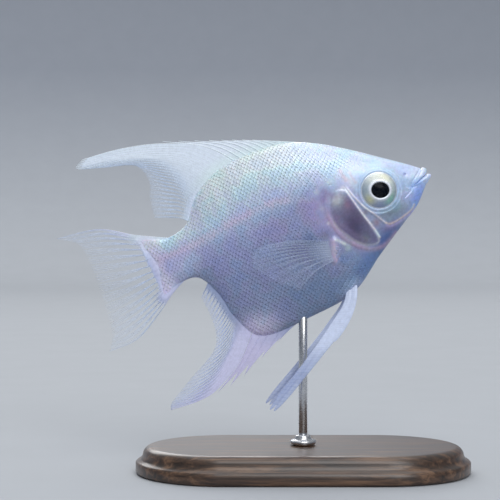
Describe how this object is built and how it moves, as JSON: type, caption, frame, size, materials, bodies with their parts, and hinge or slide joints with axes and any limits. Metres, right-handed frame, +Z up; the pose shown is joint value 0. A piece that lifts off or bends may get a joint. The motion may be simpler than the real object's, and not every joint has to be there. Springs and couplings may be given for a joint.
{
  "type": "freshwater angelfish",
  "caption": "Life-size still model of a young pearl-white freshwater angelfish, swimming head up on a plain display stand.",
  "frame": {"origin": "centre of the underside of the display stand's base", "axes": "+X towards the fish's snout, +Y to the fish's left, +Z up; the fish's middle plane is Y = 0"},
  "size_m": [0.0767, 0.034, 0.0616],
  "materials": {
    "pearl_skin": "pearly white scales and skin",
    "violet_skin": "silvery scales with a violet flush",
    "eye": "glossy black pupil in a silver iris",
    "cornea": "clear cornea",
    "fin": "translucent white fin membrane with pale rays",
    "stand_wood": "dark satin walnut",
    "stand_steel": "brushed stainless steel"
  },
  "bodies": {
    "root": {"head": "pearl_skin", "upper_jaw": "pearl_skin", "lower_jaw": "pearl_skin", "gill_cover_right": "violet_skin", "gill_cover_left": "violet_skin", "trunk": "violet_skin", "tail_stalk": "violet_skin", "eye_right": "eye", "eye_left": "eye", "dorsal_fin_spines": "fin", "dorsal_fin_rays": "fin", "anal_fin_spines": "fin", "anal_fin_rays": "fin", "tail_fin": "fin", "pectoral_fin_right": "fin", "pectoral_fin_left": "fin", "pelvic_fin_right": "fin", "pelvic_fin_left": "fin", "stand_base": "stand_wood", "stand_collar": "stand_steel", "stand_rod": "stand_steel"}
  },
  "joints": []
}
